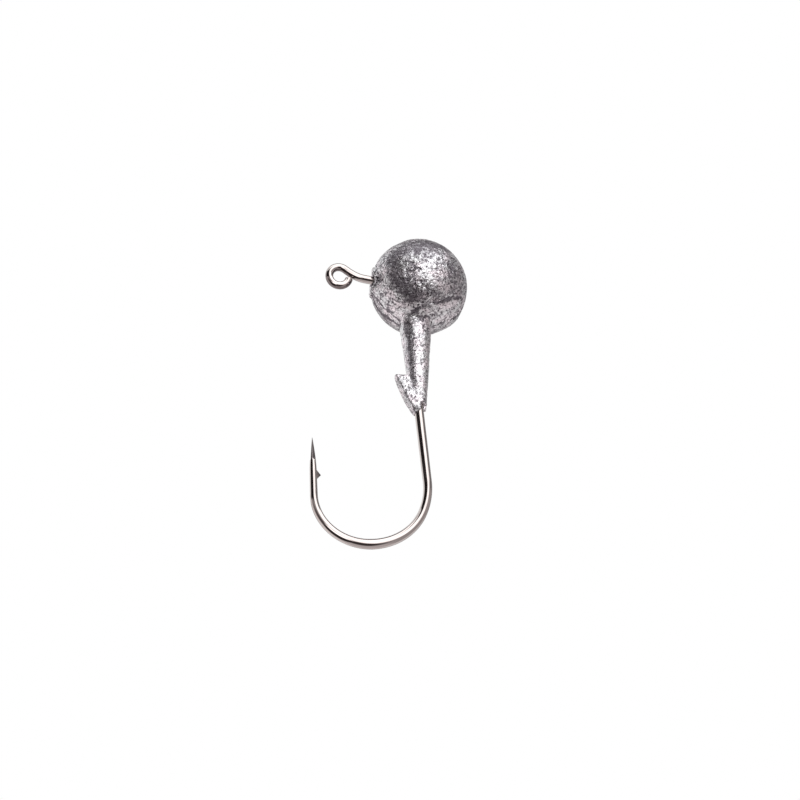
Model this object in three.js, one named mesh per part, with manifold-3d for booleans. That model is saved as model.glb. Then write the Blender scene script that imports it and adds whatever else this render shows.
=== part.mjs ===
// Round jig head: a lead ball with a tapered bait collar and a keeper barb, cast on a one-piece jig hook.
// Millimetres, +Z up. The hook lies in the XZ plane, with its shank along Z and its point towards -X.
// Dimensions are counted from the centre of the ball; the exported group is moved so that the centre of
// the line eye is the origin.

import * as THREE from "three";
import { mergeVertices } from "three/addons/utils/BufferGeometryUtils.js";
import { ConvexGeometry } from "three/addons/geometries/ConvexGeometry.js";
import Module from "manifold-3d";

const wasm = await Module();
wasm.setup();

const degrees = THREE.MathUtils.degToRad;

// Lead head
const BALL_RADIUS = 5.1;
const COLLAR_TOP = { x: -0.78, z: -4, radius: 1.73 };
const COLLAR_END = { x: -1.45, z: -14.5, radius: 0.75 };
const PAD_RISE = 12; // degrees above -X at which the flat pad round the eye leg faces
const PAD_FACE = 4.95; // distance of the pad's face from the centre of the ball
const PAD_RADIUS = 1.35;
const PAD_DEPTH = 1.6;
const PAD_FLARE = 0.4; // how much wider the pad's root is than its face

// Keeper barb: its outline in the plane of the hook, and half of its thickness at each corner
const KEEPER = [
  { x: -3.44, z: -11, half: 0.2 },
  { x: -1.3, z: -11.4, half: 0.85 },
  { x: -1.3, z: -15.2, half: 0.75 },
  { x: -1.85, z: -15.6, half: 0.4 },
  { x: -2.4, z: -14.25, half: 0.88 },
  { x: -3.1, z: -12.4, half: 0.68 },
];

// Hook wire
const SHANK_RADIUS = 0.48;
const HEEL_RADIUS = 0.455;
const LEG_RADIUS = 0.44;
const EYE_RADIUS = 0.42;
const FORGED_RADIUS = 0.52; // the bottom of the bend is forged a little deeper
const THROAT_RADIUS = 0.39;
const POINT_RADIUS = 0.36; // where the grinding of the point begins
const TIP_RADIUS = 0.03;
const GRINDING_POWER = 1.5; // above 1, so that the ground point is slightly convex
const CAST_GAP = 0.05; // between the wire and the lead round it

// Line eye, and the leg that joins it to the head
const EYE = { x: -8.27, z: 1.4, rx: 1.04, rz: 1.17 };
const EYE_CLOSED_AT = -15; // degrees round the eye at which the wire's cut end stops short of the leg
const EYE_LEAVES_AT = 48; // degrees round the eye at which the wire leaves it for the leg
const LEG_TILT = 13; // degrees by which the eye leg rises above the perpendicular to the shank
const LEG_START_X = -5.7;
const NECK_PULL = { eye: 0.8, leg: 0.65 }; // lengths of the handles of the curve between eye and leg

// Shank, round bend and point
const SHANK_X = -1.5;
const CORNER_Z = 0.1; // where the lines of the leg and the shank cross, inside the ball
const CORNER_RADIUS = 1.8;
const BARE_SHANK_Z = -16; // just below the lead, where the shank starts to thin
const SHANK_END_Z = -23.1;
const HEEL = { radius: 8, turn: 25 };
const BEND = { radius: 5.87, turn: 65 };
const THROAT = { radius: 5.17, turn: 92.6 };
const POINT_LEG = 6.42;
const POINT_TAPER = 3.65; // length of the ground point

// Barb cut from the point leg: its outline in the plane of the hook and half of its thickness
const BARB = [
  { x: -12.3, z: -21.7, half: 0.1 },
  { x: -11.91, z: -22.3, half: 0.04 },
  { x: -12.45, z: -22.75, half: 0.22 },
  { x: -12.6, z: -21.8, half: 0.22 },
];

// How finely the round shapes are divided
const BALL_SIDES = 48;
const CAST_SIDES = 24; // of the collar and the pad
const WIRE_SIDES = 12;
const WIRE_STEPS = { straight: 1, eye: 20, neck: 6, corner: 5, heel: 3, bend: 7, throat: 10, point: 5 };

const SAME_CORNER = 1e-5; // corners closer than this are one
const CUT_BEYOND = 1; // how far a cut reaches past the surface of the ball

function toSolid(geometry) {
  const bare = geometry.index ? geometry.toNonIndexed() : geometry.clone();
  bare.deleteAttribute("normal");
  bare.deleteAttribute("uv");
  const merged = mergeVertices(bare, SAME_CORNER);
  const vertProperties = new Float32Array(merged.attributes.position.array);
  const triVerts = new Uint32Array(merged.index.array);
  return new wasm.Manifold(new wasm.Mesh({ numProp: 3, vertProperties, triVerts }));
}

function toGeometry(solid) {
  const mesh = solid.getMesh();
  const geometry = new THREE.BufferGeometry();
  geometry.setAttribute("position", new THREE.BufferAttribute(mesh.vertProperties, mesh.numProp));
  geometry.setIndex(new THREE.BufferAttribute(mesh.triVerts, 1));
  geometry.computeVertexNormals();
  return geometry;
}

// A convex wedge, symmetric about the plane of the hook, from corners with a half thickness each.
function wedge(corners) {
  const points = corners.flatMap(({ x, z, half }) => [
    new THREE.Vector3(x, half, z),
    new THREE.Vector3(x, -half, z),
  ]);
  return toSolid(new ConvexGeometry(points));
}

// A frustum whose axis runs from one point of the hook's plane to another.
function frustumBetween(from, to) {
  const start = new THREE.Vector3(from.x, 0, from.z);
  const end = new THREE.Vector3(to.x, 0, to.z);
  const axis = end.clone().sub(start);
  const geometry = new THREE.CylinderGeometry(to.radius, from.radius, axis.length(), CAST_SIDES);
  const turn = new THREE.Quaternion().setFromUnitVectors(new THREE.Vector3(0, 1, 0), axis.normalize());
  geometry.applyQuaternion(turn);
  geometry.translate(...start.add(end).multiplyScalar(0.5).toArray());
  return toSolid(geometry);
}

// Curves in the plane of the hook, whose x and y are the X and Z of the part; angles are in degrees.
function arc(centreX, centreZ, radiusX, radiusZ, from, to) {
  return new THREE.EllipseCurve(centreX, centreZ, radiusX, radiusZ, degrees(from), degrees(to), to < from);
}

function line(start, end) {
  return new THREE.LineCurve(start.clone(), end.clone());
}

// An arc that carries on from a point at the given angle round it, turning clockwise.
function arcFrom(start, radius, from, turn) {
  const centreX = start.x - radius * Math.cos(degrees(from));
  const centreZ = start.y - radius * Math.sin(degrees(from));
  return arc(centreX, centreZ, radius, radius, from, from - turn);
}

// A stretch of the wire: its centre line, the steps that it is divided into and its radius at each end.
function stretch(curve, steps, startRadius, endRadius) {
  return { curve, steps, radius: (t) => THREE.MathUtils.lerp(startRadius, endRadius, t) };
}

// The leg from the eye, the corner inside the ball, and the shank down to where it leaves the lead.
function stretchesInHead() {
  const tangent = CORNER_RADIUS * Math.tan(degrees(90 - LEG_TILT) / 2);
  const centreX = SHANK_X - CORNER_RADIUS;
  const corner = arc(centreX, CORNER_Z - tangent, CORNER_RADIUS, CORNER_RADIUS, 90 - LEG_TILT, 0);
  const legRise = (SHANK_X - LEG_START_X) * Math.tan(degrees(LEG_TILT));
  const leg = line(new THREE.Vector2(LEG_START_X, CORNER_Z + legRise), corner.getPoint(0));
  const shankTop = line(corner.getPoint(1), new THREE.Vector2(SHANK_X, BARE_SHANK_Z));
  return [
    stretch(leg, WIRE_STEPS.straight, LEG_RADIUS, LEG_RADIUS),
    stretch(corner, WIRE_STEPS.corner, LEG_RADIUS, SHANK_RADIUS),
    stretch(shankTop, WIRE_STEPS.straight, SHANK_RADIUS, SHANK_RADIUS),
  ];
}

// The line eye, from its cut end round to the neck, and the neck down to the leg.
function stretchesOfEye(leg) {
  const eye = arc(EYE.x, EYE.z, EYE.rx, EYE.rz, EYE_CLOSED_AT, EYE_LEAVES_AT - 360);
  const neck = new THREE.CubicBezierCurve(
    eye.getPoint(1),
    eye.getPoint(1).addScaledVector(eye.getTangent(1), NECK_PULL.eye),
    leg.getPoint(0).addScaledVector(leg.getTangent(0), -NECK_PULL.leg),
    leg.getPoint(0),
  );
  return [
    stretch(eye, WIRE_STEPS.eye, EYE_RADIUS, EYE_RADIUS),
    stretch(neck, WIRE_STEPS.neck, EYE_RADIUS, LEG_RADIUS),
  ];
}

// The bare shank, the round bend in three arcs, and the point leg as far as the tip.
function stretchesOfBend(shankTop) {
  const shank = line(shankTop.getPoint(1), new THREE.Vector2(SHANK_X, SHANK_END_Z));
  const heel = arcFrom(shank.getPoint(1), HEEL.radius, 0, HEEL.turn);
  const bend = arcFrom(heel.getPoint(1), BEND.radius, -HEEL.turn, BEND.turn);
  const throat = arcFrom(bend.getPoint(1), THROAT.radius, -HEEL.turn - BEND.turn, THROAT.turn);

  const heading = throat.getTangent(1);
  const taperStart = throat.getPoint(1).addScaledVector(heading, POINT_LEG - POINT_TAPER);
  const tip = throat.getPoint(1).addScaledVector(heading, POINT_LEG);
  const pointLeg = line(throat.getPoint(1), taperStart);
  const grinding = (t) => POINT_RADIUS + (TIP_RADIUS - POINT_RADIUS) * t ** GRINDING_POWER;
  return [
    stretch(shank, WIRE_STEPS.straight, SHANK_RADIUS, HEEL_RADIUS),
    stretch(heel, WIRE_STEPS.heel, HEEL_RADIUS, HEEL_RADIUS),
    stretch(bend, WIRE_STEPS.bend, HEEL_RADIUS, FORGED_RADIUS),
    stretch(throat, WIRE_STEPS.throat, FORGED_RADIUS, THROAT_RADIUS),
    stretch(pointLeg, WIRE_STEPS.straight, THROAT_RADIUS, POINT_RADIUS),
    { curve: line(taperStart, tip), steps: WIRE_STEPS.point, radius: grinding },
  ];
}

// A closed round bar swept along stretches that follow one another, thicker by the given clearance.
function wireSolid(stretches, clearance) {
  const sections = [];
  for (const { curve, steps, radius } of stretches) {
    for (let i = sections.length ? 1 : 0; i <= steps; i += 1) {
      const t = i / steps;
      sections.push({
        centre: curve.getPoint(t),
        heading: curve.getTangent(t),
        radius: radius(t) + clearance,
      });
    }
  }
  const last = sections.length - 1;
  const bar = new THREE.CylinderGeometry(1, 1, 1, WIRE_SIDES, last);
  const position = bar.attributes.position;
  for (let i = 0; i < position.count; i += 1) {
    const section = sections[Math.round((0.5 - position.getY(i)) * last)];
    const across = position.getX(i) * section.radius;
    const out = position.getZ(i) * section.radius;
    position.setXYZ(
      i,
      section.centre.x + section.heading.y * across,
      out,
      section.centre.y - section.heading.x * across,
    );
  }
  return toSolid(bar);
}

function leadHead(inHead) {
  const ball = toSolid(new THREE.SphereGeometry(BALL_RADIUS, BALL_SIDES, BALL_SIDES / 2));
  const collar = frustumBetween(COLLAR_TOP, COLLAR_END);
  const channel = wireSolid(inHead, CAST_GAP);

  const outwards = { x: -Math.cos(degrees(PAD_RISE)), z: Math.sin(degrees(PAD_RISE)) };
  const out = (distance, radius) => ({ x: outwards.x * distance, z: outwards.z * distance, radius });
  const pad = frustumBetween(out(PAD_FACE - PAD_DEPTH, PAD_RADIUS + PAD_FLARE), out(PAD_FACE, PAD_RADIUS));
  const trim = frustumBetween(out(PAD_FACE, PAD_RADIUS), out(BALL_RADIUS + CUT_BEYOND, PAD_RADIUS));

  return ball.add(pad).subtract(trim).add(collar).add(wedge(KEEPER)).subtract(channel);
}

function jigHook(inHead) {
  const leg = inHead[0].curve;
  const shankTop = inHead.at(-1).curve;
  const wire = wireSolid([...stretchesOfEye(leg), ...inHead, ...stretchesOfBend(shankTop)], 0);
  return wire.add(wedge(BARB));
}

function castLead() {
  return new THREE.MeshStandardMaterial({ color: 0x9a979a, roughness: 0.45, metalness: 0.9 });
}

function blackNickel() {
  return new THREE.MeshStandardMaterial({ color: 0x5a5250, roughness: 0.15, metalness: 1 });
}

function namedMesh(name, solid, material) {
  const mesh = new THREE.Mesh(toGeometry(solid), material);
  mesh.name = name;
  return mesh;
}

const inHead = stretchesInHead();
const jig = new THREE.Group();
jig.add(namedMesh("lead_head", leadHead(inHead), castLead()));
jig.add(namedMesh("jig_hook", jigHook(inHead), blackNickel()));
jig.position.set(-EYE.x, 0, -EYE.z);

const model = new THREE.Group();
model.add(jig);

export default model;
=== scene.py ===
# Looks of a round jig head: a lead ball with a collar and a keeper barb, cast on a one-piece nickelled hook.
# Shapes are worked out in millimetres from the centre of the ball, and put in the frame at the end.
# The hook lies in the XZ plane, with its shank along Z, and its point on the -X side.
# Places on the ball are in degrees across, round to the right from -Y, and degrees up from the horizon.
import math

import bmesh
import bpy
import numpy as np
from mathutils import Matrix, Vector, noise


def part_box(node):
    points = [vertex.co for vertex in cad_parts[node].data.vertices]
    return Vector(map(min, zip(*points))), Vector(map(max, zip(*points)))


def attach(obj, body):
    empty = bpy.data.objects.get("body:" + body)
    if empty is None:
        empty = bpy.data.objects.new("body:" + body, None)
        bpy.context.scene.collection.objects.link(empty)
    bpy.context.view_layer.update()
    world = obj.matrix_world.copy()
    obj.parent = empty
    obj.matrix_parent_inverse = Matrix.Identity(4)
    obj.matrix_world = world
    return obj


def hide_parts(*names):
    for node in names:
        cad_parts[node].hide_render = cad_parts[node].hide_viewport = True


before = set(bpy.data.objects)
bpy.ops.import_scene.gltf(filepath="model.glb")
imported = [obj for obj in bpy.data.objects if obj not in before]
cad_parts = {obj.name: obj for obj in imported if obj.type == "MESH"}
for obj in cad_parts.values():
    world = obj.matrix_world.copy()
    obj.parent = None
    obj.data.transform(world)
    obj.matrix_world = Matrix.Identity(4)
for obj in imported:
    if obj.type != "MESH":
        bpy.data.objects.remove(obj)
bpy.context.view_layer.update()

MM = 0.001
head_high = np.array(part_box("lead_head")[1]) / MM
BALL_RADIUS = head_high[1]
BALL_CENTRE = head_high - BALL_RADIUS

# Lead head
COLLAR_TOP = {"x": -0.78, "z": -4.0, "radius": 1.73}
COLLAR_END = {"x": -1.45, "z": -14.5, "radius": 0.80}
PAD_RISE = 7  # degrees above -X at which the flat pad round the eye leg faces
PAD_FACE = 5.03  # distance of the pad's face from the centre of the ball
PAD_RADIUS = 1.58
PAD_DEPTH = 1.6
PAD_FLARE = 0.2
LEG_ENTRY = (-4.86, 0.0, 0.9)  # where the eye leg goes into the pad
# Outlines in the plane of the hook, as x, z and half of the thickness at each corner
KEEPER = (
    (-3.62, -10.9, 0.4),
    (-1.3, -11.3, 0.85),
    (-1.3, -15.2, 0.75),
    (-2.0, -15.6, 0.4),
    (-2.6, -14.25, 0.88),
    (-3.27, -12.4, 0.68),
)
FLASH = ((-1.2, -14.0, 0.3), (-0.62, -14.1, 0.12), (-0.68, -15.3, 0.03), (-1.2, -15.2, 0.2))
SHOULDER = {"at": (3.7, 1.2, -3.3), "height": 0.2, "spread": 1.7}  # the ball's bulge, right of the collar
CAST_EDGE = 0.05  # how softly the cast edges are rounded, apart from these two
KEEPER_EDGE = 0.08
PAD_EDGE = 0.02
PAD_FILLET = 0.03  # how softly the pad runs into the ball
CORNER_FILLET = 0.04  # how softly the keeper runs into the collar
FILLET = 0.16  # how softly the collar runs into the ball
CONE_SEGMENTS = 64
SKIN_STEP = 0.081  # spacing of the lead's mesh
SKIN_DEPTH = 0.04  # how far inside the CAD surface the lead's skin lies before its lumps are added
FIT_STEPS = 5  # rounds of moving the mesh on to the surface
SLOPE_STEP = 0.01  # distance over which the surface's slope is measured
LEAST_SLOPE_SQUARED = 0.05
SEED_STEPS = (7.3, 3.1, 5.7)  # how far each seed shifts the noise along each axis
OCTAVE_FADE = 1.0  # how fast the noise's octaves grow fainter
OCTAVE_SCALE = 2.0  # how much finer each is than the one before

# Hook wire
SHANK_RADIUS = 0.48
HEEL_RADIUS = 0.455
LEG_RADIUS = 0.44
EYE_RADIUS = 0.42
FORGED_RADIUS = 0.52  # the bottom of the bend is forged a little deeper
THROAT_RADIUS = 0.39
POINT_RADIUS = 0.36  # where the taper of the point begins
TIP_RADIUS = 0.03
GRINDING_POWER = 1.5  # above 1, so that the ground point is slightly convex
EYE = {"x": -BALL_CENTRE[0], "z": -BALL_CENTRE[2], "rx": 1.04, "rz": 1.17}
EYE_CLOSED_AT = -15  # degrees round the eye at which the wire's cut end stops short of the leg
EYE_LEAVES_AT = 48  # degrees round the eye at which the wire leaves it for the leg
LEG_TILT = 13  # degrees by which the eye leg rises above the perpendicular to the shank
LEG_START_X = -5.7
NECK_PULL = {"eye": 0.8, "leg": 0.65}  # lengths of the handles of the curve between the eye and the leg
SHANK_X = -1.5
CORNER_Z = 0.1  # where the lines of the leg and the shank cross, inside the ball
CORNER_RADIUS = 1.8
BARE_SHANK_Z = -16.0  # just below the lead, where the shank starts to thin
SHANK_END_Z = -23.1
HEEL = {"radius": 8.0, "turn": 25.0}
BEND = {"radius": 5.87, "turn": 65.0}
THROAT = {"radius": 5.17, "turn": 92.6}
POINT_LEG = 6.42
POINT_TAPER = 3.65  # length of the ground point
BARB = ((-12.3, -21.7, 0.1), (-11.91, -22.3, 0.04), (-12.45, -22.75, 0.22), (-12.6, -21.8, 0.22))
WIRE_INSET = 0.012  # how far the drawn wire stays inside the CAD wire's facets
WIRE_STEP = 0.1
WIRE_SIDES = 40
CURVE_POINTS = {"arc": 400, "neck": 200, "straight": 100}  # before the line is cut into even steps
CUT_END_ROUNDING = 0.1
POINT_FLATS = (-60, 60, 180)  # where the ground point is flat, degrees round the wire from its inner side
FLAT_SHARE = 0.72  # how far out a flat's middle lies, as a share of the radius
GRINDING_START = 1.08  # how far along the taper its flats and bare steel begin
GRINDING_EDGE = 0.15
EYE_SHADE_FADE = 1.6  # length over which the painted shade on the eye fades out towards the leg
UNSHADED_FRONT = (0.35, 0.85)  # how squarely the eye's surface faces -Y where its painted shade leaves off
CHANNEL_SIDES = 32
CHANNEL_GAP = 0.025
CHANNEL_OVERRUN = 1  # how far the channel's tool runs on past the leg and past the hidden shank
MOUTH_FLARE = 0.14  # added to the channel's radius where the leg goes in
MOUTH_DISTANCE = (4.2, 4.7)  # distances from the ball's centre over which it widens


# ---------------------------------------------------------------- mesh helpers


def mesh_object(name, points, faces):
    """A mesh object with its faces turned outwards."""
    mesh = bpy.data.meshes.new(name)
    mesh.from_pydata(points.tolist(), [], faces)
    shape = bmesh.new()
    shape.from_mesh(mesh)
    bmesh.ops.recalc_face_normals(shape, faces=shape.faces)
    shape.to_mesh(mesh)
    shape.free()
    return linked(name, mesh)


def linked(name, mesh):
    obj = bpy.data.objects.new(name, mesh)
    bpy.context.scene.collection.objects.link(obj)
    return obj


def apply_modifiers(obj):
    depsgraph = bpy.context.evaluated_depsgraph_get()
    made = bpy.data.meshes.new_from_object(obj.evaluated_get(depsgraph))
    obj.modifiers.clear()
    obj.data = made


def combine(obj, tool, operation):
    """Joins the tool to the object or cuts it away, and removes the tool."""
    boolean = obj.modifiers.new(operation, "BOOLEAN")
    boolean.operation = operation
    boolean.object = tool
    boolean.solver = "EXACT"
    apply_modifiers(obj)
    bpy.data.objects.remove(tool)


def coordinates(mesh):
    points = np.empty(len(mesh.vertices) * 3)
    mesh.vertices.foreach_get("co", points)
    return points.reshape(-1, 3)


def finish_piece(obj, name, node, material):
    """Puts a piece in the frame in place of its CAD node, with its material."""
    obj.name = name
    obj.data.name = name
    obj.data.transform(Matrix.Scale(MM, 4) @ Matrix.Translation(BALL_CENTRE))
    obj.data.materials.clear()
    obj.data.materials.append(material)
    for face in obj.data.polygons:
        face.material_index = 0
        face.use_smooth = True
    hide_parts(node)
    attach(obj, "root")


def wedge_shape(shape, corners):
    """Adds the hull of corners in the plane of the hook, each with half a thickness, to a bmesh."""
    points = [(x, side * half, z) for x, z, half in corners for side in (1, -1)]
    made = bmesh.ops.convex_hull(shape, input=[shape.verts.new(point) for point in points])
    return [item for item in made["geom"] if isinstance(item, bmesh.types.BMFace)]


def wedge_object(name, corners):
    shape = bmesh.new()
    wedge_shape(shape, corners)
    bmesh.ops.recalc_face_normals(shape, faces=shape.faces)
    mesh = bpy.data.meshes.new(name)
    shape.to_mesh(mesh)
    shape.free()
    return linked(name, mesh)


# ---------------------------------------------------------------- the hook's wire


def arc(x, z, radius_x, radius_z, start, end):
    angles = np.radians(np.linspace(start, end, CURVE_POINTS["arc"]))
    return np.stack((x + radius_x * np.cos(angles), z + radius_z * np.sin(angles)), 1)


def arc_from(start, radius, angle, turn):
    """An arc that carries on from a point at the given angle round it, turning clockwise."""
    x = start[0] - radius * math.cos(math.radians(angle))
    z = start[1] - radius * math.sin(math.radians(angle))
    return arc(x, z, radius, radius, angle, angle - turn)


def straight(start, end):
    return np.linspace(start, end, CURVE_POINTS["straight"])


def heading_at_end(points):
    step = points[-1] - points[-2]
    return step / np.linalg.norm(step)


def neck_curve(eye, leg):
    """The cubic curve that leads from the eye into the leg."""
    t = np.linspace(0, 1, CURVE_POINTS["neck"])[:, None]
    back = 1 - t
    first = eye[-1] + heading_at_end(eye) * NECK_PULL["eye"]
    second = leg[0] + heading_at_end(leg[::-1]) * NECK_PULL["leg"]
    return back**3 * eye[-1] + 3 * back**2 * t * first + 3 * back * t**2 * second + t**3 * leg[0]


def wire_stretches():
    """Each stretch of the wire, from the eye to the tip: its centre line and its radius at both ends."""
    eye = arc(EYE["x"], EYE["z"], EYE["rx"], EYE["rz"], EYE_CLOSED_AT, EYE_LEAVES_AT - 360)
    tangent = CORNER_RADIUS * math.tan(math.radians(90 - LEG_TILT) / 2)
    corner_x, corner_z = SHANK_X - CORNER_RADIUS, CORNER_Z - tangent
    corner = arc(corner_x, corner_z, CORNER_RADIUS, CORNER_RADIUS, 90 - LEG_TILT, 0)
    leg_rise = (SHANK_X - LEG_START_X) * math.tan(math.radians(LEG_TILT))
    leg = straight((LEG_START_X, CORNER_Z + leg_rise), corner[0])
    shank_top = straight(corner[-1], (SHANK_X, BARE_SHANK_Z))
    shank = straight(shank_top[-1], (SHANK_X, SHANK_END_Z))
    heel = arc_from(shank[-1], HEEL["radius"], 0, HEEL["turn"])
    bend = arc_from(heel[-1], BEND["radius"], -HEEL["turn"], BEND["turn"])
    throat = arc_from(bend[-1], THROAT["radius"], -HEEL["turn"] - BEND["turn"], THROAT["turn"])
    heading = heading_at_end(throat)
    taper_start = throat[-1] + heading * (POINT_LEG - POINT_TAPER)
    return {
        "eye": (eye, EYE_RADIUS, EYE_RADIUS),
        "neck": (neck_curve(eye, leg), EYE_RADIUS, LEG_RADIUS),
        "leg": (leg, LEG_RADIUS, LEG_RADIUS),
        "corner": (corner, LEG_RADIUS, SHANK_RADIUS),
        "shank_top": (shank_top, SHANK_RADIUS, SHANK_RADIUS),
        "shank": (shank, SHANK_RADIUS, HEEL_RADIUS),
        "heel": (heel, HEEL_RADIUS, HEEL_RADIUS),
        "bend": (bend, HEEL_RADIUS, FORGED_RADIUS),
        "throat": (throat, FORGED_RADIUS, THROAT_RADIUS),
        "point_leg": (straight(throat[-1], taper_start), THROAT_RADIUS, POINT_RADIUS),
        "taper": (straight(taper_start, throat[-1] + heading * POINT_LEG), POINT_RADIUS, TIP_RADIUS),
    }


def wire_line(step):
    """The wire's centre line and radius at even steps, the length to each, and each stretch's start."""
    lines, radii, starts = [], [], {}
    length = 0.0
    for name, (points, first, last) in wire_stretches().items():
        t = np.linspace(0, 1, len(points))
        power = GRINDING_POWER if name == "taper" else 1
        lines.append(points)
        radii.append(first + (last - first) * t**power)
        starts[name] = length
        length += np.linalg.norm(np.diff(points, axis=0), axis=1).sum()
    line = np.vstack(lines)
    radius = np.concatenate(radii)
    to_point = np.concatenate(([0], np.cumsum(np.linalg.norm(np.diff(line, axis=0), axis=1))))
    at = np.linspace(0, to_point[-1], int(to_point[-1] / step) + 1)
    even = np.stack((np.interp(at, to_point, line[:, 0]), np.interp(at, to_point, line[:, 1])), 1)
    return even, np.interp(at, to_point, radius), at, starts


def sweep(line, radius, sides, flats=1):
    """Points and faces of a closed round bar along a line in the plane of the hook."""
    heading = np.gradient(line, axis=0)
    heading /= np.linalg.norm(heading, axis=1)[:, None]
    angles = np.linspace(0, 2 * math.pi, sides, endpoint=False)
    radius = radius[:, None] * flats
    inwards = np.cos(angles) * radius
    x = line[:, :1] + heading[:, 1:] * inwards
    z = line[:, 1:] - heading[:, :1] * inwards
    y = np.sin(angles) * radius
    points = np.stack((x, y, z), 2).reshape(-1, 3)
    last = (len(line) - 1) * sides
    faces = [
        (ring + k, ring + (k + 1) % sides, ring + sides + (k + 1) % sides, ring + sides + k)
        for ring in range(0, last, sides)
        for k in range(sides)
    ]
    faces.append(tuple(range(sides)))
    faces.append(tuple(range(last, last + sides)))
    return points, faces


def ground_flats(angles, ground):
    """Shares of the wire's radius round it: 1 where it is round, and less on the ground point's flats."""
    across = np.cos(angles[:, None] - np.radians(POINT_FLATS))
    flat = np.min(FLAT_SHARE / np.maximum(across, FLAT_SHARE), 1)
    return 1 - ground[:, None] * (1 - flat)


def hook_piece():
    line, radius, at, starts = wire_line(WIRE_STEP)
    radius = radius - WIRE_INSET - CUT_END_ROUNDING * np.clip(1 - at / CUT_END_ROUNDING, 0, 1) ** 2
    ground = np.clip((at - starts["taper"] - GRINDING_START) / GRINDING_EDGE, 0, 1)
    angles = np.linspace(0, 2 * math.pi, WIRE_SIDES, endpoint=False)
    points, faces = sweep(line, radius, WIRE_SIDES, ground_flats(angles, ground))
    hook = mesh_object("hook", points, faces)
    length = np.repeat(at, WIRE_SIDES)
    around = np.tile(angles, len(line))
    add_attribute(hook.data, "straightened", np.stack((np.cos(around), np.sin(around), length), 1))
    add_attribute(hook.data, "ground", np.repeat(ground, WIRE_SIDES))
    # Painted shade on the eye, for the ball it reflects and its own shade: darker all round except on its
    # front.
    in_eye = 1 - smooth_step(length, starts["leg"] - EYE_SHADE_FADE, starts["leg"])
    add_attribute(hook.data, "painted_eye_shade", in_eye * (1 - smooth_step(-np.sin(around), *UNSHADED_FRONT)))
    barb = wedge_object("barb", BARB)
    add_attribute(barb.data, "ground", np.ones(len(barb.data.vertices)))
    combine(hook, barb, "UNION")
    return hook


def channel_tool():
    """The hollow that the wire leaves in the lead, with a shallow mouth where the leg goes in."""
    line, radius, at, starts = wire_line(WIRE_STEP)
    inside = (at > starts["leg"] - CHANNEL_OVERRUN) & (at < starts["shank"] + CHANNEL_OVERRUN)
    line, radius = line[inside], radius[inside]
    mouth = smooth_step(np.linalg.norm(line, axis=1), *MOUTH_DISTANCE) * (at[inside] < starts["corner"])
    points, faces = sweep(line, radius + CHANNEL_GAP + MOUTH_FLARE * mouth, CHANNEL_SIDES)
    return mesh_object("channel", points, faces)


def add_attribute(mesh, name, values):
    kind = "FLOAT" if values.ndim == 1 else "FLOAT_VECTOR"
    attribute = mesh.attributes.new(name, kind, "POINT")
    attribute.data.foreach_set("value" if values.ndim == 1 else "vector", values.astype(np.float32).ravel())


# ---------------------------------------------------------------- the lead's surface, as signed distances


def soft_max(distances, softness):
    stack = np.stack(distances)
    top = stack.max(0)
    return top + softness * np.log(np.exp((stack - top) / softness).sum(0))


def soft_min(distances, softness):
    return -soft_max([-d for d in distances], softness)


def cone_distance(points, start, end, start_radius, end_radius):
    """About the signed distance to a frustum, whose edges are softly rounded."""
    start, end = np.array(start), np.array(end)
    length = np.linalg.norm(end - start)
    axis = (end - start) / length
    along = (points - start) @ axis
    off_axis = np.linalg.norm(points - start - along[:, None] * axis, axis=1)
    slope = (start_radius - end_radius) / length
    side = (off_axis - start_radius + slope * along) / math.hypot(1, slope)
    return soft_max([side, along - length, -along], CAST_EDGE)


def wedge_planes(corners):
    """Outward normals and offsets of the faces of a wedge."""
    shape = bmesh.new()
    faces = wedge_shape(shape, corners)
    bmesh.ops.recalc_face_normals(shape, faces=shape.faces)
    centre = sum((v.co for v in shape.verts), Vector()) / len(shape.verts)
    planes = set()
    for face in faces:
        face.normal_update()
        normal = face.normal if face.normal.dot(face.verts[0].co - centre) > 0 else -face.normal
        planes.add(tuple(round(value, 3) for value in (*normal, normal.dot(face.verts[0].co))))
    shape.free()
    return np.array(sorted(planes))


def wedge_distance(points, planes, softness):
    return soft_max(list((points @ planes[:, :3].T - planes[:, 3]).T), softness)


PAD_OUT = np.array((-math.cos(math.radians(PAD_RISE)), 0, math.sin(math.radians(PAD_RISE))))
KEEPER_PLANES = wedge_planes(KEEPER)
FLASH_PLANES = wedge_planes(FLASH)


def collar_distance(points):
    ends = [(end["x"], 0, end["z"]) for end in (COLLAR_TOP, COLLAR_END)]
    return cone_distance(points, *ends, COLLAR_TOP["radius"], COLLAR_END["radius"])


def lead_distance(points):
    ball = np.linalg.norm(points, axis=1) - BALL_RADIUS + SKIN_DEPTH
    pad_root = PAD_OUT * (PAD_FACE - PAD_DEPTH)
    pad = cone_distance(points, pad_root, PAD_OUT * PAD_FACE, PAD_RADIUS + PAD_FLARE, PAD_RADIUS)
    ball = soft_max([soft_min([ball, pad], PAD_FILLET), points @ PAD_OUT - PAD_FACE], PAD_EDGE)
    keeper = wedge_distance(points, KEEPER_PLANES, KEEPER_EDGE)
    flash = wedge_distance(points, FLASH_PLANES, CAST_EDGE)
    collar = soft_min([collar_distance(points), keeper, flash], CORNER_FILLET)
    return soft_min([ball, collar], FILLET)


def fit_to_surface(points, distance):
    """Moves points on to the surface where the distance is nought, and gives its normals there."""
    for _ in range(FIT_STEPS):
        slopes = [distance(points + side) - distance(points - side) for side in np.eye(3) * SLOPE_STEP]
        gradient = np.stack(slopes, 1) / (2 * SLOPE_STEP)
        size = np.maximum((gradient**2).sum(1), LEAST_SLOPE_SQUARED)
        points = points - gradient * (distance(points) / size)[:, None]
    return points, gradient / np.linalg.norm(gradient, axis=1)[:, None]


def turned_to(direction):
    """A rotation that turns +Z to a direction."""
    return Vector(direction).to_track_quat("Z", "Y").to_matrix().to_4x4()


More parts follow.
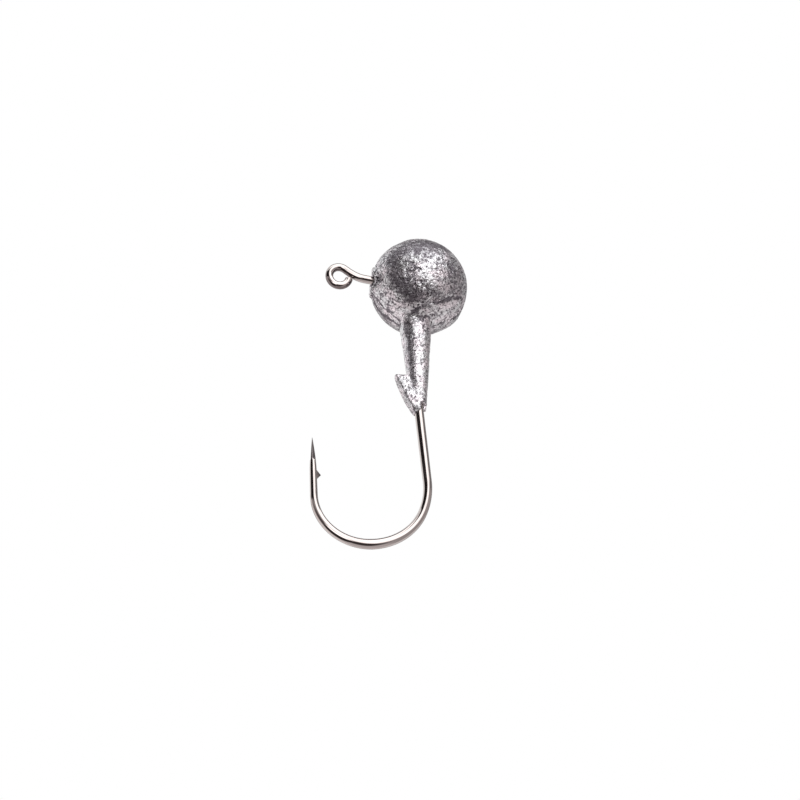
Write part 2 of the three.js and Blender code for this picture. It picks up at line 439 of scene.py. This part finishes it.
def add_cone(shape, middle, direction, depth, start_radius, end_radius):
    bmesh.ops.create_cone(
        shape,
        cap_ends=True,
        segments=CONE_SEGMENTS,
        radius1=start_radius,
        radius2=end_radius,
        depth=depth,
        matrix=Matrix.Translation(middle) @ turned_to(direction),
    )


def skin_mesh():
    """The ball, collar, pad and keeper as one evenly meshed skin, before it is fitted to their surface."""
    shape = bmesh.new()
    bmesh.ops.create_icosphere(shape, subdivisions=5, radius=BALL_RADIUS)
    start, end = (Vector((e["x"], 0, e["z"])) for e in (COLLAR_TOP, COLLAR_END))
    collar = end - start
    add_cone(shape, (start + end) / 2, collar, collar.length, COLLAR_TOP["radius"], COLLAR_END["radius"])
    pad_middle = PAD_OUT * (PAD_FACE - PAD_DEPTH / 2)
    add_cone(shape, pad_middle, PAD_OUT, PAD_DEPTH, PAD_RADIUS + PAD_FLARE, PAD_RADIUS)
    wedge_shape(shape, KEEPER)
    wedge_shape(shape, FLASH)
    bmesh.ops.recalc_face_normals(shape, faces=shape.faces)
    mesh = bpy.data.meshes.new("lead")
    shape.to_mesh(mesh)
    shape.free()
    lead = linked("lead", mesh)
    remesh = lead.modifiers.new("even", "REMESH")
    remesh.mode = "VOXEL"
    remesh.voxel_size = SKIN_STEP
    apply_modifiers(lead)
    return lead


def on_ball(across, up):
    """The unit vector from the ball's centre towards a place on it."""
    across, up = math.radians(across), math.radians(up)
    level = math.cos(up)
    return np.array((math.sin(across) * level, -math.cos(across) * level, math.sin(up)))


def fractal(points, size, octaves, seed):
    """Fractal noise, mostly from -1 to 1, whose largest lumps are about the given size."""
    offset = Vector([seed * step for step in SEED_STEPS])
    places = (Vector(point) / size + offset for point in points)
    return np.array([noise.fractal(place, OCTAVE_FADE, OCTAVE_SCALE, octaves) for place in places])


def stroke(points, corners):
    """Distance from each point to a line drawn over the ball through corners, each across and up."""
    line = [on_ball(*corner) * BALL_RADIUS for corner in corners]
    nearest = np.full(len(points), np.inf)
    for start, end in zip(line, line[1:]):
        span = end - start
        along = np.clip((points - start) @ span / (span @ span), 0, 1)
        away = np.linalg.norm(points - start - along[:, None] * span, axis=1)
        nearest = np.minimum(nearest, away)
    return nearest


def bell(values, width):
    return np.exp(-((values / width) ** 2))


def smooth_step(values, low, high):
    t = np.clip((values - low) / (high - low), 0, 1)
    return t * t * (3 - 2 * t)


# The skin's unevenness, as noise: a height, the size of its largest lumps, octaves and a seed
LUMPS = {"height": 0.035, "size": 2.6, "octaves": 2, "seed": 1}
DIMPLES = {"height": 0.026, "size": 0.7, "octaves": 3, "seed": 2}
GRAIN = {"height": 0.014, "size": 0.26, "octaves": 2, "seed": 3}
WANDER = {"height": 0.16, "size": 1.0, "octaves": 2}  # of the lines in the skin
TREMBLE = {"height": 0.06, "size": 0.3, "octaves": 2}
WANDER_SEEDS = ((11, 16), (12, 17), (13, 18))  # for each axis, the wander's and the tremble's
WRINKLE_DEPTH = 0.04
WRINKLE_WIDTH = 0.08  # in levels of noise
WRINKLED_LEVELS = (-0.3, 0.1)  # of noise, over which the patches of wrinkles set in

# The belt is a strip down each side of the parting plane below the eye leg, where the two mould halves were
# trimmed. Its half width changes with height.
BELT_HEIGHTS = (-5.2, -4.33, -3.5, -2.15, -0.9, 0.2)
BELT_HALF_WIDTHS = (0.1, 0.33, 0.57, 0.64, 0.2, 0.0)
BELT_DEPTH = 0.06
BELT_RIM = 0.1  # width over which the belt reaches its depth
BELT_SMOOTHNESS = 0.7  # share of the skin's roughness that trimming took off
RIGHT_SEAM = {"x_from": 0.8, "y": -0.15, "z_to": -0.8}
FAR = 1  # stands for any distance at which a groove no longer shows
GROOVE_WIDTH = 0.10
GROOVE_DEPTH = 0.085
FOLD_SHADE_DEPTH = 0.06  # depth at which a fold is painted fully dark, as painted shade

# Lines in the skin, through corners given as across and up
BROKEN_LEVELS = (-0.35, 0.25)  # of noise, over which the broken lines come and go
CREASE = ((-37, -63), (-15, -58), (2, -55), (33, -46), (63, -31))  # above the collar, rising to the right
CREASE_WIDTH = 0.12
CREASE_STRENGTH = {"least": 0.9, "gain": 0.5}
CRACK = ((-26, -14), (-18, -15), (-12, -12), (-8, -13))
CRACK_WIDTH = 0.09
CRACK_WANDER = 0.3  # how far the crack wanders, as a share of the other lines
CURL = {"corners": ((47, -56), (42, -60), (36, -58), (37, -54), (42, -53)), "depth": 0.05, "width": 0.07}
LEDGE = {"corners": ((-20, -21), (-15, -28), (1, -28), (17, -27)), "depth": 0.05, "width": 0.08}
SCRATCHES = (((6, -28), (17, -21)), ((8, -31), (19, -24)), ((2, -31), (9, -25)))
SCRATCH_DEPTH = 0.04
SCRATCH_WIDTH = 0.05

# The notch in the pad beside the eye leg, open towards -Y
NOTCH_ACROSS = np.array((0.01, -0.52, 0.85))  # direction in which the notch's width is measured
NOTCH_WIDTH = 0.52
NOTCH_DEPTH = 0.5
NOTCH_REACH = (3.8, 4.7)  # distances towards the pad's face over which it deepens
NOTCH_BACK = (-0.9, -0.4)  # distances towards -Y over which it deepens


def uneven(points, height, size, octaves, seed):
    return height * fractal(points, size, octaves, seed)


def belt_edge_distance(points):
    """How far inside the belt's edge each point is. Negative outside the belt and on the collar."""
    half_width = np.interp(points[:, 2], BELT_HEIGHTS, BELT_HALF_WIDTHS, left=-FAR, right=-FAR)
    return np.where(points[:, 0] < 0, half_width - np.abs(points[:, 1]), -FAR)


def seam_distance(points):
    """Distance to the line that the mould left low on the right of the ball."""
    away = np.abs(points[:, 1] - RIGHT_SEAM["y"])
    beside_seam = (points[:, 0] > RIGHT_SEAM["x_from"]) & (points[:, 2] < RIGHT_SEAM["z_to"])
    return np.where(beside_seam, away, FAR)


def strayed(points):
    """The points moved a little at random, so that the lines drawn through them wander."""
    moves = []
    for wander_seed, tremble_seed in WANDER_SEEDS:
        wander = uneven(points, **WANDER, seed=wander_seed)
        moves.append(wander + uneven(points, **TREMBLE, seed=tremble_seed))
    return points + np.stack(moves, 1)


def folds(points):
    """The depth of the folds, cracks and seams on the ball, as heights below nought."""
    astray = strayed(points)
    crack_points = (1 - CRACK_WANDER) * points + CRACK_WANDER * astray
    broken = smooth_step(fractal(points, size=0.6, octaves=3, seed=6), *BROKEN_LEVELS)
    lines = np.zeros(len(points))
    for line in (LEDGE, CURL):
        lines -= line["depth"] * bell(stroke(astray, line["corners"]), line["width"])
    for scratch in SCRATCHES:
        lines -= SCRATCH_DEPTH * bell(stroke(points, scratch), SCRATCH_WIDTH)
    lines -= GROOVE_DEPTH * bell(seam_distance(astray), GROOVE_WIDTH)
    grooves = bell(belt_edge_distance(astray), GROOVE_WIDTH)
    grooves += bell(stroke(crack_points, CRACK), CRACK_WIDTH)
    crease_strength = CREASE_STRENGTH["least"] + CREASE_STRENGTH["gain"] * broken
    grooves += crease_strength * bell(stroke(astray, CREASE), CREASE_WIDTH)
    return broken * lines - GROOVE_DEPTH * grooves


def wrinkles(points):
    """Fine wrinkles in patches, where the skin set before the lead under it."""
    lines = bell(fractal(points, size=1.0, octaves=2, seed=4), WRINKLE_WIDTH)
    return lines * smooth_step(fractal(points, size=2.2, octaves=1, seed=5), *WRINKLED_LEVELS)


def notch(points):
    """From 0 to 1, how far each point lies in the notch where the eye leg goes in."""
    across = bell((points - LEG_ENTRY) @ NOTCH_ACROSS, NOTCH_WIDTH)
    return across * smooth_step(points @ PAD_OUT, *NOTCH_REACH) * smooth_step(-points[:, 1], *NOTCH_BACK)


def lead_relief(points):
    """How far the surface stands in or out of its true shape: lumps, dimples, wrinkles and folds."""
    lumps = uneven(points, **LUMPS)
    belt = smooth_step(belt_edge_distance(points), 0, BELT_RIM)
    rough = uneven(points, **DIMPLES) + uneven(points, **GRAIN) - WRINKLE_DEPTH * wrinkles(points)
    rough = (1 - BELT_SMOOTHNESS * belt) * rough
    skin = np.minimum(lumps + rough + folds(points) - BELT_DEPTH * belt, SKIN_DEPTH)
    from_shoulder = np.linalg.norm(points - SHOULDER["at"], axis=1)
    bulge = SHOULDER["height"] * bell(from_shoulder, SHOULDER["spread"])
    return skin + bulge - NOTCH_DEPTH * notch(points)


# Patches on the ball's skin: lines through corners, given as across and up, with a width and a strength.
# The last three of each kind are on the far side, which the photograph doesn't show.
# These darken the lead: partly oxide, partly painted shade over bright reflections on the ball.
OXIDE_AND_SHADE_PATCHES = (
    (((-8, 34), (-25, 24), (-41, 10), (-42, -5), (-30, -33), (-22, -42)), 0.9, 0.65),
    (((-22, -41), (-12, -42)), 0.6, 0.7),
    (((-10, -40), (14, -42)), 0.6, 0.35),
    (((36, 4), (48, -26)), 1.4, 0.25),
    (((-22, 15), (-8, 20), (6, 26), (30, 30)), 1.1, 0.85),
    (((3, 9), (20, 14)), 0.9, 0.4),
    (((112, 52), (138, 30), (150, 4), (138, -18)), 1.0, 0.7),
    (((-172, 58), (-160, 34), (-136, 26)), 0.9, 0.75),
    (((178, -22), (-158, -34), (-132, -22)), 0.8, 0.6),
)
BURNISH = (
    (((-3, -4), (4, -20)), 1.3, 1.0),
    (((-85, 30), (-88, 0), (-72, -35), (-60, -55)), 1.6, 1.0),
    (((10, -66), (45, -58), (75, -35)), 1.3, 1.0),
    (((172, 26), (-176, 2), (170, -10)), 1.4, 1.0),
    (((118, -8), (128, -42), (160, -58)), 1.3, 1.0),
    (((-128, 4), (-112, 30)), 1.2, 0.9),
)
PATCH_RAGGEDNESS = 0.4
PATCH_EDGE = (-0.15, 0.7)  # how a patch fades, as shares of its width in from its edge
BALL_FOOT = (5.0, 5.6)  # depths below the ball's centre over which the collar's shine sets in
STREAK_FOOT = (4.8, 5.6)  # depths over which its streak of painted shade does
STREAK_AT = -42  # degrees round the collar from -Y, below nought to the left
STREAK_WIDTH = 17  # degrees
STREAK_WANDER = 8  # degrees
STREAK_STRENGTH = 0.8
STREAK_REACH = 0.12  # how far from the collar's surface it still shows
KEEPER_REACH = 0.2  # how far from the keeper's surface its edges are darkened
OFF_COLLAR = (0.05, 0.2)  # distances from the collar's surface over which that sets in
EDGE_TURN = 0.5  # how far the normal has turned towards Y in the middle of an edge
EDGE_SPREAD = 0.2
ROOT_SHADE_WIDTH = 0.3  # of the ring of painted shade round the eye leg
WRINKLE_SHADE = 0.25
VEIN_GRIME = 0.6
VEIN_WIDTH = 0.1  # in levels of noise
KEEPER_EDGE_DARKENING = 0.6


def patches(points, lines):
    """How far each point lies in any of the patches, from 0 to 1, with ragged edges."""
    ragged = PATCH_RAGGEDNESS * fractal(points, size=0.9, octaves=4, seed=21)
    inside = np.zeros(len(points))
    for corners, width, strength in lines:
        patch = smooth_step(1.0 - stroke(points, corners) / width + ragged, *PATCH_EDGE)
        inside = np.maximum(inside, strength * patch)
    return inside


def shine(points):
    """Where the lead is rubbed bright: patches of the ball, the collar and the keeper."""
    return np.maximum(patches(points, BURNISH), smooth_step(-points[:, 2], *BALL_FOOT))


def painted_collar_shade(points):
    """A streak of painted shade down the collar, left of its front, where it reflects dark surroundings."""
    height = COLLAR_END["z"] - COLLAR_TOP["z"]
    t = np.clip((points[:, 2] - COLLAR_TOP["z"]) / height, 0, 1)
    middle = COLLAR_TOP["x"] + (COLLAR_END["x"] - COLLAR_TOP["x"]) * t
    across = np.degrees(np.arctan2(points[:, 0] - middle, -points[:, 1]))
    on_collar = smooth_step(-points[:, 2], *STREAK_FOOT) * (collar_distance(points) < STREAK_REACH)
    away = across - STREAK_AT + STREAK_WANDER * fractal(points, size=1.2, octaves=3, seed=31)
    return STREAK_STRENGTH * on_collar * bell(away, STREAK_WIDTH)


def keeper_edges(points, normals):
    """The keeper's edges, where its faces meet its sides."""
    near_keeper = bell(wedge_distance(points, KEEPER_PLANES, CAST_EDGE), KEEPER_REACH)
    off_collar = smooth_step(collar_distance(points), *OFF_COLLAR)
    return near_keeper * off_collar * bell(np.abs(normals[:, 1]) - EDGE_TURN, EDGE_SPREAD)


def dirt_and_painted_shade(points, normals):
    """Darkening round the eye leg, in the folds and wrinkles, in veins and along the keeper's edges: painted
    shade round the leg and in the folds and wrinkles, dirt in the veins, and darker keeper edges.
    """
    root = bell(np.linalg.norm(points - LEG_ENTRY, axis=1) - LEG_RADIUS, ROOT_SHADE_WIDTH)
    lines = WRINKLE_SHADE * wrinkles(points) - folds(points) / FOLD_SHADE_DEPTH
    vein = bell(fractal(points, size=0.6, octaves=3, seed=41), VEIN_WIDTH)
    veins = VEIN_GRIME * patches(points, BURNISH) * vein
    edges = KEEPER_EDGE_DARKENING * keeper_edges(points, normals)
    return np.clip(root + lines + veins + edges, 0, 1)


def paint_lead(mesh):
    """Marks for its material where the lead is oxidised or carries painted shade, where it is rubbed bright,
    and where it is dirty or carries painted shade.
    """
    points = coordinates(mesh)
    normals = np.empty(len(points) * 3)
    mesh.vertex_normals.foreach_get("vector", normals)
    add_attribute(mesh, "oxide_and_painted_shade", np.maximum(patches(points, OXIDE_AND_SHADE_PATCHES), painted_collar_shade(points)))
    add_attribute(mesh, "burnish", shine(points))
    add_attribute(mesh, "dirt_and_painted_shade", dirt_and_painted_shade(points, normals.reshape(-1, 3)))


def lead_piece():
    lead = skin_mesh()
    points, normals = fit_to_surface(coordinates(lead.data), lead_distance)
    points = points + normals * lead_relief(points)[:, None]
    lead.data.vertices.foreach_set("co", points.ravel())
    lead.data.update()
    combine(lead, channel_tool(), "DIFFERENCE")
    paint_lead(lead.data)
    return lead


# ---------------------------------------------------------------- materials


class Nodes:
    """The node tree of a material or of the world, with short ways to add nodes to it."""

    def __init__(self, owner, shader):
        owner.use_nodes = True
        self.owner = owner
        self.tree = owner.node_tree
        self.shader = self.tree.nodes[shader]

    def feed(self, socket, value):
        if isinstance(value, bpy.types.NodeSocket):
            self.tree.links.new(value, socket)
        else:
            socket.default_value = value

    def feed_all(self, node, inputs):
        for name, value in inputs.items():
            self.feed(node.inputs[name], value)

    def add(self, kind, inputs=None, **settings):
        node = self.tree.nodes.new("ShaderNode" + kind)
        for name, value in settings.items():
            setattr(node, name, value)
        self.feed_all(node, inputs or {})
        return node

    def noise(self, place, scale, detail=3, roughness=0.5, distortion=0):
        shape = {"Scale": scale, "Detail": detail, "Roughness": roughness, "Distortion": distortion}
        return self.add("TexNoise", {"Vector": place, **shape}).outputs["Fac"]

    def ramp(self, value, low, high, start=0.0, end=1.0):
        """A smooth step from start to end, as a value rises from low to high."""
        inputs = {0: value, 1: low, 2: high, 3: start, 4: end}
        return self.add("MapRange", inputs, interpolation_type="SMOOTHSTEP").outputs[0]

    def mix(self, share, first, second):
        inputs = {"Factor": share, 6: first, 7: second}
        return self.add("Mix", inputs, data_type="RGBA").outputs[2]

    def product(self, first, second):
        return self.add("Math", {0: first, 1: second}, operation="MULTIPLY").outputs[0]

    def scaled_sum(self, value, scale, other):
        """The value times the scale, plus the other value."""
        return self.add("Math", {0: value, 1: scale, 2: other}, operation="MULTIPLY_ADD").outputs[0]

    def millimetres(self):
        place = self.add("TexCoord").outputs["Object"]
        return self.add("VectorMath", {0: place, "Scale": 1 / MM}, operation="SCALE").outputs[0]

    def attribute(self, name, output="Fac"):
        return self.add("Attribute", attribute_name=name).outputs[output]


def material_nodes(name):
    return Nodes(bpy.data.materials.new(name), "Principled BSDF")


# Cast lead: colours, and the levels of noise between which each sets in
PALE_LEAD = (0.90, 0.90, 0.92, 1)
WARM_LEAD = (0.98, 0.91, 0.95, 1)
OXIDE_AND_SHADE_GREY = (0.52, 0.50, 0.54, 1)
SPECKLE_GREY = (0.22, 0.20, 0.225, 1)
FLECK_GREY = (0.09, 0.08, 0.09, 1)
WARM_LEVELS = (0.42, 0.6)
SPECKLE_LEVELS = (0.61, 0.76)
FLECK_LEVELS = (0.385, 0.43)
SPECKLE_SHIFTS = {"burnish": 0.06, "oxide_and_painted_shade": -0.09, "dirt_and_painted_shade": -0.25}  # what each attribute adds to the noise
FLECK_SHIFT = 0.03
COARSE_SHARE = 0.4  # of the coarse noise, beside the fine
HOLLOW_SHARE = 0.8  # of the hollows, beside the pits
LEAD_ROUGHNESS = {"dark": 0.42, "bright": 0.18}
# A painted pale rim: the lead turns less metallic where it faces away from the view, standing in for grey
# reflections at grazing angles.
PAINTED_RIM_FACING = (0.6, 0.95)  # Layer Weight's facing, over which the lead turns less metallic
PAINTED_RIM_METALLIC = 0.5
PIT_DEPTH = 0.085  # of the fine pits that the skin's mesh can't hold

# Black nickel, the ground steel of the point, and the painted shade on the eye
NICKEL = ((0.56, 0.50, 0.48, 1), (0.68, 0.63, 0.61, 1))
GROUND_STEEL = ((0.12, 0.11, 0.11, 1), (0.24, 0.21, 0.21, 1))
EYE_SHADE_COLOUR = (0.13, 0.10, 0.10, 1)
EYE_SHADE_STRENGTH = 0.8
DRAWN_SCALE = (3.0, 3.0, 0.35)  # of its streaks: round the wire, as a cosine and a sine, and along it
DRAWN_LEVELS = (0.3, 0.7)
NICKEL_ROUGHNESS = (0.13, 0.07)
GROUND_ROUGHNESS = 0.3  # what grinding adds


def lead_colour(nodes, place, speckle):
    pepper = nodes.noise(place, scale=5.5, detail=2, distortion=0.5)
    fleck_level = nodes.scaled_sum(nodes.attribute("burnish"), FLECK_SHIFT, pepper)
    tint = nodes.ramp(nodes.noise(place, scale=0.9), *WARM_LEVELS)
    pale = nodes.mix(tint, PALE_LEAD, WARM_LEAD)
    # Greyer where the lead is oxidised and where shade is painted on it.
    darkened = nodes.mix(nodes.attribute("oxide_and_painted_shade"), pale, OXIDE_AND_SHADE_GREY)
    speckled = nodes.mix(speckle, SPECKLE_GREY, darkened)
    return nodes.mix(nodes.ramp(fleck_level, *FLECK_LEVELS), FLECK_GREY, speckled)


def cast_lead():
    nodes = material_nodes("cast_lead")
    place = nodes.millimetres()
    fine = nodes.noise(place, scale=3.2, detail=6, roughness=0.85, distortion=0.4)
    coarse = nodes.noise(place, scale=0.8, detail=4, roughness=0.6)
    level = nodes.scaled_sum(coarse, COARSE_SHARE, fine)
    for name, shift in SPECKLE_SHIFTS.items():
        level = nodes.scaled_sum(nodes.attribute(name), shift, level)
    speckle = nodes.ramp(level, *SPECKLE_LEVELS)
    pits = nodes.noise(place, scale=4.0, roughness=0.7)
    hollows = nodes.scaled_sum(nodes.noise(place, scale=1.6, detail=2), HOLLOW_SHARE, pits)
    bump = nodes.add("Bump", {"Height": hollows, "Strength": 1.0, "Distance": PIT_DEPTH * MM})
    facing = nodes.add("LayerWeight", {"Blend": 0.5}).outputs["Facing"]
    inputs = {
        "Base Color": lead_colour(nodes, place, speckle),
        "Roughness": nodes.ramp(speckle, 0, 1, LEAD_ROUGHNESS["dark"], LEAD_ROUGHNESS["bright"]),
        "Metallic": nodes.ramp(facing, *PAINTED_RIM_FACING, 1.0, PAINTED_RIM_METALLIC),
        "Normal": bump.outputs[0],
    }
    nodes.feed_all(nodes.shader, inputs)
    return nodes.owner


def black_nickel():
    nodes = material_nodes("black_nickel")
    place = nodes.attribute("straightened", "Vector")
    drawn = nodes.add("VectorMath", {0: place, 1: DRAWN_SCALE}, operation="MULTIPLY").outputs[0]
    streaks = nodes.ramp(nodes.noise(drawn, scale=1.0, detail=4, roughness=0.6), *DRAWN_LEVELS)
    ground = nodes.attribute("ground")
    painted_eye_shade = nodes.product(nodes.attribute("painted_eye_shade"), EYE_SHADE_STRENGTH)
    plated = nodes.mix(painted_eye_shade, nodes.mix(streaks, *NICKEL), EYE_SHADE_COLOUR)
    drawn_roughness = nodes.ramp(streaks, 0, 1, *NICKEL_ROUGHNESS)
    inputs = {
        "Base Color": nodes.mix(ground, plated, nodes.mix(streaks, *GROUND_STEEL)),
        "Roughness": nodes.scaled_sum(ground, GROUND_ROUGHNESS, drawn_roughness),
        "Metallic": 1,
    }
    nodes.feed_all(nodes.shader, inputs)
    return nodes.owner


# ---------------------------------------------------------------- stage, light and camera

# What the metal reflects, painted one over the other. Each is centred on a place given as on the ball, in
# degrees across and up. It is full as far as the first of its angles from there and gone at the second, and
# may be kept within a band between two elevations.
SURROUNDINGS = {
    "left wall": {"at": (-140, -5), "angles": (40, 62), "colour": (0.95, 0.91, 0.91)},
    "right wall": {"at": (145, -20), "angles": (30, 50), "colour": (0.80, 0.77, 0.77)},
    "floor": {"at": (0, -90), "angles": (30, 45), "colour": (0.62, 0.58, 0.58)},
    "gap on the left": {"at": (-50, -4), "angles": (12, 34), "colour": (0.10, 0.085, 0.085)},
    "camera": {"at": (-8, -38), "angles": (16, 40), "colour": (0.05, 0.04, 0.04)},
    "dark stand": {"at": (-60, -34), "angles": (21, 25), "colour": (0.03, 0.025, 0.025)},
    "ceiling": {"at": (-40, 80), "angles": (30, 45), "colour": (0.95, 0.94, 0.94)},
    "large softbox": {"at": (64, 46), "angles": (52, 61), "colour": (2.0, 2.0, 2.0), "band": (26, 90)},
    "right flag": {"at": (90, 31), "angles": (24, 37), "colour": (0.20, 0.19, 0.19), "band": (20, 44)},
    "dark flag": {"at": (-62, 38), "angles": (38, 52), "colour": (0.015, 0.012, 0.012), "band": (24, 56)},
    "front softbox": {"at": (14, 12), "angles": (16, 30), "colour": (1.9, 1.87, 1.87)},
    "front softbox's corner": {"at": (-19, -5), "angles": (9, 15), "colour": (2.2, 2.17, 2.17)},
    "backdrop": {"at": (165, 46), "angles": (49, 64), "colour": (0.32, 0.31, 0.31)},
    "upper left wall": {"at": (-138, 36), "angles": (26, 38), "colour": (1.0, 1.0, 1.0), "band": (22, 90)},
}
BAND_SOFTNESS = 4  # degrees
ROOM = (0.42, 0.39, 0.39, 1)
BACKDROP = (1.0, 1.0, 1.0, 1)


def cosine(angle):
    return math.cos(math.radians(angle))


def sine(angle):
    return math.sin(math.radians(angle))


def share_of_view(nodes, towards, height, light):
    """How much of what is seen in a direction is this light."""
    inputs = {0: towards, 1: on_ball(*light["at"])}
    facing = nodes.add("VectorMath", inputs, operation="DOT_PRODUCT").outputs["Value"]
    full, gone = light["angles"]
    share = nodes.ramp(facing, cosine(gone), cosine(full))
    if "band" in light:
        low, high = light["band"]
        share = nodes.product(share, nodes.ramp(height, sine(low), sine(low + BAND_SOFTNESS)))
        if high < 90:
            share = nodes.product(share, nodes.ramp(height, sine(high), sine(high - BAND_SOFTNESS)))
    return share


def light_world():
    """Lights the scene with the surroundings. The camera sees a plain white backdrop in their place."""
    nodes = Nodes(bpy.data.worlds.new("studio"), "Background")
    bpy.context.scene.world = nodes.owner
    towards = nodes.add("TexCoord").outputs["Generated"]
    height = nodes.add("SeparateXYZ", {0: towards}).outputs["Z"]
    colour = ROOM
    for light in SURROUNDINGS.values():
        share = share_of_view(nodes, towards, height, light)
        colour = nodes.mix(share, colour, (*light["colour"], 1))
    camera_ray = nodes.add("LightPath").outputs["Is Camera Ray"]
    nodes.feed(nodes.shader.inputs["Color"], nodes.mix(camera_ray, colour, BACKDROP))


FLOOR_Z = -200  # below the camera, which looks up at the head
FLOOR_SIZE = 4000
FLOOR_GLOW = 0.42  # brings the floor up to the backdrop's white


def lay_floor():
    shape = bmesh.new()
    bmesh.ops.create_grid(shape, x_segments=1, y_segments=1, size=FLOOR_SIZE / 2 * MM)
    mesh = bpy.data.meshes.new("floor")
    shape.to_mesh(mesh)
    shape.free()
    floor = linked("floor", mesh)
    floor.location.z = FLOOR_Z * MM
    floor.visible_glossy = False
    nodes = material_nodes("pale_floor")
    inputs = {
        "Base Color": (0.86, 0.86, 0.86, 1),
        "Roughness": 0.9,
        "Emission Color": (1, 1, 1, 1),
        "Emission Strength": FLOOR_GLOW,
    }
    nodes.feed_all(nodes.shader, inputs)
    mesh.materials.append(nodes.owner)


CAMERA_AIM = (4.97, 0.0, -15.21)  # in millimetres from the line eye, as the frame has it
CAMERA_DISTANCE = 172.3
CAMERA_AZIMUTH = -11.343
CAMERA_ELEVATION = -31.073
CAMERA_ROLL = -6.39
CAMERA_LENS = 77.32
CAMERA_CLIP_START = 10


def place_camera():
    camera = bpy.data.objects.new("camera", bpy.data.cameras.new("camera"))
    bpy.context.scene.collection.objects.link(camera)
    bpy.context.scene.camera = camera
    camera.data.lens = CAMERA_LENS
    camera.data.clip_start = CAMERA_CLIP_START * MM
    back = Vector(on_ball(CAMERA_AZIMUTH, CAMERA_ELEVATION))
    camera.location = (Vector(CAMERA_AIM) + back * CAMERA_DISTANCE) * MM
    roll = Matrix.Rotation(math.radians(CAMERA_ROLL), 3, "Z")
    camera.rotation_euler = (back.to_track_quat("Z", "Y").to_matrix() @ roll).to_euler()


place_camera()
light_world()
lay_floor()
bpy.context.scene.view_settings.view_transform = "Standard"

finish_piece(hook_piece(), "hook", "jig_hook", black_nickel())
finish_piece(lead_piece(), "cast_head", "lead_head", cast_lead())
